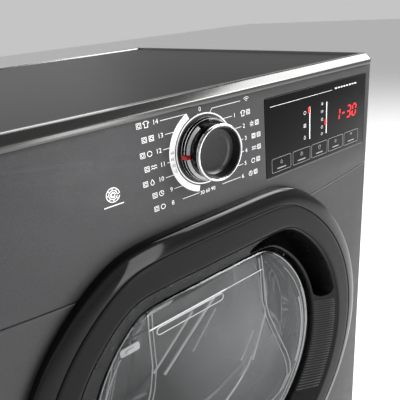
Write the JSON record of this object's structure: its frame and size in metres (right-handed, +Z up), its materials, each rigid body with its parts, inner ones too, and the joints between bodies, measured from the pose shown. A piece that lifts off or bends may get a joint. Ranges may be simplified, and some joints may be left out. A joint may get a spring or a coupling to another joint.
{
  "type": "front loading laundry machine",
  "caption": "Front-loading laundry dryer with a round flat-topped door, clear water container, rotary selector, dark display, belt-driven drum and heat-pump base.",
  "frame": {"origin": "on the floor under the middle of the machine's overall box, the knob included", "axes": "+Z up, the front with door and controls faces -Y, +X to the right seen from the front"},
  "size_m": [0.596, 0.61, 0.85],
  "materials": {
    "graphite_steel": "satin metallic graphite paint",
    "graphite_plastic": "satin metallic graphite paint on moulded plastic",
    "dark_plastic": "dark graphite, fine matte",
    "gloss_black": "piano black",
    "black_plastic": "fine moulded texture",
    "black_paint": "semi-gloss black paint",
    "chrome_trim": "bright chrome",
    "bright_steel": "turned steel",
    "drum_steel": "perforated stainless steel",
    "zinc_sheet": "galvanised sheet",
    "worktop_laminate": "dark grey satin laminate on board",
    "clear_plastic": "clear moulded plastic",
    "door_glass": "clear glass",
    "rubber": "matte",
    "grey_plastic": "light grey moulded plastic",
    "red_plastic": "red",
    "aluminium_fins": "finned"
  },
  "bodies": {
    "cabinet": {"base_tray": "black_plastic", "left_side_panel": "graphite_steel", "right_side_panel": "graphite_steel", "back_panel": "zinc_sheet", "rear_duct_cover": "zinc_sheet", "front_panel": "graphite_steel", "control_fascia": "graphite_plastic", "display_window": "gloss_black", "selector_switch": "black_plastic", "worktop_frame": "graphite_plastic", "worktop_board": "worktop_laminate", "front_bulkhead": "zinc_sheet", "rear_bulkhead": "zinc_sheet", "door_seal": "rubber", "door_lock": "black_plastic", "cord_gland": "black_plastic", "hinge_bracket": "chrome_trim", "hinge_pin": "bright_steel", "rear_bearing": "black_plastic", "drive_belt": "rubber", "motor_stator": "zinc_sheet", "idler_bracket": "zinc_sheet", "compressor": "black_paint", "exchanger_housing": "black_plastic", "evaporator": "aluminium_fins", "condenser": "aluminium_fins", "exchanger_cover": "grey_plastic", "drain_pump": "grey_plastic", "filter_pocket": "black_plastic"},
    "foot_front_left": {"foot_front_left": "rubber"},
    "foot_front_right": {"foot_front_right": "rubber"},
    "foot_rear_left": {"foot_rear_left": "rubber"},
    "foot_rear_right": {"foot_rear_right": "rubber"},
    "selector_knob": {"knob_skirt": "chrome_trim", "knob_pointer": "red_plastic", "knob_grip": "black_plastic", "knob_ring": "chrome_trim"},
    "door": {"door_bezel": "gloss_black", "door_frame": "dark_plastic", "door_dish": "black_plastic", "door_liner": "dark_plastic", "door_bowl": "door_glass", "door_hook": "bright_steel", "hinge_leaf": "bright_steel"},
    "water_container": {"water_container": "clear_plastic"},
    "drum": {"drum_shell": "drum_steel", "drum_paddle_1": "grey_plastic", "drum_paddle_2": "grey_plastic", "drum_paddle_3": "grey_plastic", "drum_spindle": "bright_steel"},
    "motor_rotor": {"motor_shaft": "bright_steel", "fan_wheel": "black_plastic"},
    "idler_arm": {"idler_arm": "bright_steel"},
    "idler_wheel": {"idler_wheel": "black_plastic"},
    "roller_left": {"drum_roller_left": "rubber"},
    "roller_right": {"drum_roller_right": "rubber"},
    "lint_filter": {"lint_filter": "grey_plastic"},
    "service_flap": {"service_flap": "graphite_plastic"},
    "cover_lever_left": {"cover_lever_left": "red_plastic"},
    "cover_lever_right": {"cover_lever_right": "red_plastic"}
  },
  "joints": [
    {"name": "door_hinge", "type": "hinge", "parent": "cabinet", "child": "door", "pos_m": [-0.274, -0.285, 0.473], "axis": [0, 0, -1], "range_deg": [0, 140]},
    {"name": "container_slide", "type": "slide", "parent": "door", "child": "water_container", "axis": [0, -1, 0], "range_m": [0, 0.09]},
    {"name": "selector_turn", "type": "hinge", "parent": "cabinet", "child": "selector_knob", "pos_m": [0, -0.29, 0.7888], "axis": [0, -1, 0], "continuous": true},
    {"name": "drum_spin", "type": "hinge", "parent": "cabinet", "child": "drum", "pos_m": [0, 0.1, 0.473], "axis": [0, 1, 0], "continuous": true},
    {"name": "motor_spin", "type": "hinge", "parent": "cabinet", "child": "motor_rotor", "pos_m": [-0.12, 0.1, 0.118], "axis": [0, 1, 0], "continuous": true},
    {"name": "idler_swing", "type": "hinge", "parent": "cabinet", "child": "idler_arm", "pos_m": [0.01782, 0.03, 0.15395], "axis": [0, -1, 0], "range_deg": [0, 12], "stiffness_Nm_per_rad": 1, "springref_deg": -11.46},
    {"name": "idler_spin", "type": "hinge", "parent": "idler_arm", "child": "idler_wheel", "pos_m": [-0.04551, 0.021, 0.12412], "axis": [0, 1, 0], "continuous": true},
    {"name": "roller_left_spin", "type": "hinge", "parent": "cabinet", "child": "roller_left", "pos_m": [-0.15707, -0.16, 0.22164], "axis": [0, 1, 0], "continuous": true},
    {"name": "roller_right_spin", "type": "hinge", "parent": "cabinet", "child": "roller_right", "pos_m": [0.15707, -0.16, 0.22164], "axis": [0, 1, 0], "continuous": true},
    {"name": "lint_filter_lift", "type": "slide", "parent": "cabinet", "child": "lint_filter", "axis": [0, 0, 1], "range_m": [0, 0.035]},
    {"name": "service_flap_hinge", "type": "hinge", "parent": "cabinet", "child": "service_flap", "pos_m": [-0.155, -0.2775, 0.0405], "axis": [1, 0, 0], "range_deg": [0, 85]},
    {"name": "cover_lever_left_turn", "type": "hinge", "parent": "cabinet", "child": "cover_lever_left", "pos_m": [-0.244, -0.217, 0.112], "axis": [0, 1, 0], "range_deg": [0, 90]},
    {"name": "cover_lever_right_turn", "type": "hinge", "parent": "cabinet", "child": "cover_lever_right", "pos_m": [-0.068, -0.217, 0.112], "axis": [0, 1, 0], "range_deg": [0, 90]},
    {"name": "foot_front_left_level", "type": "slide", "parent": "cabinet", "child": "foot_front_left", "axis": [0, 0, -1], "range_m": [0, 0.012]},
    {"name": "foot_front_right_level", "type": "slide", "parent": "cabinet", "child": "foot_front_right", "axis": [0, 0, -1], "range_m": [0, 0.012]},
    {"name": "foot_rear_left_level", "type": "slide", "parent": "cabinet", "child": "foot_rear_left", "axis": [0, 0, -1], "range_m": [0, 0.012]},
    {"name": "foot_rear_right_level", "type": "slide", "parent": "cabinet", "child": "foot_rear_right", "axis": [0, 0, -1], "range_m": [0, 0.012]}
  ],
  "couplings": [
    {"joint": "motor_spin", "follows": "drum_spin", "ratio": 34.75},
    {"joint": "idler_spin", "follows": "drum_spin", "ratio": -18.533},
    {"joint": "roller_left_spin", "follows": "drum_spin", "ratio": -15.444},
    {"joint": "roller_right_spin", "follows": "drum_spin", "ratio": -15.444}
  ]
}
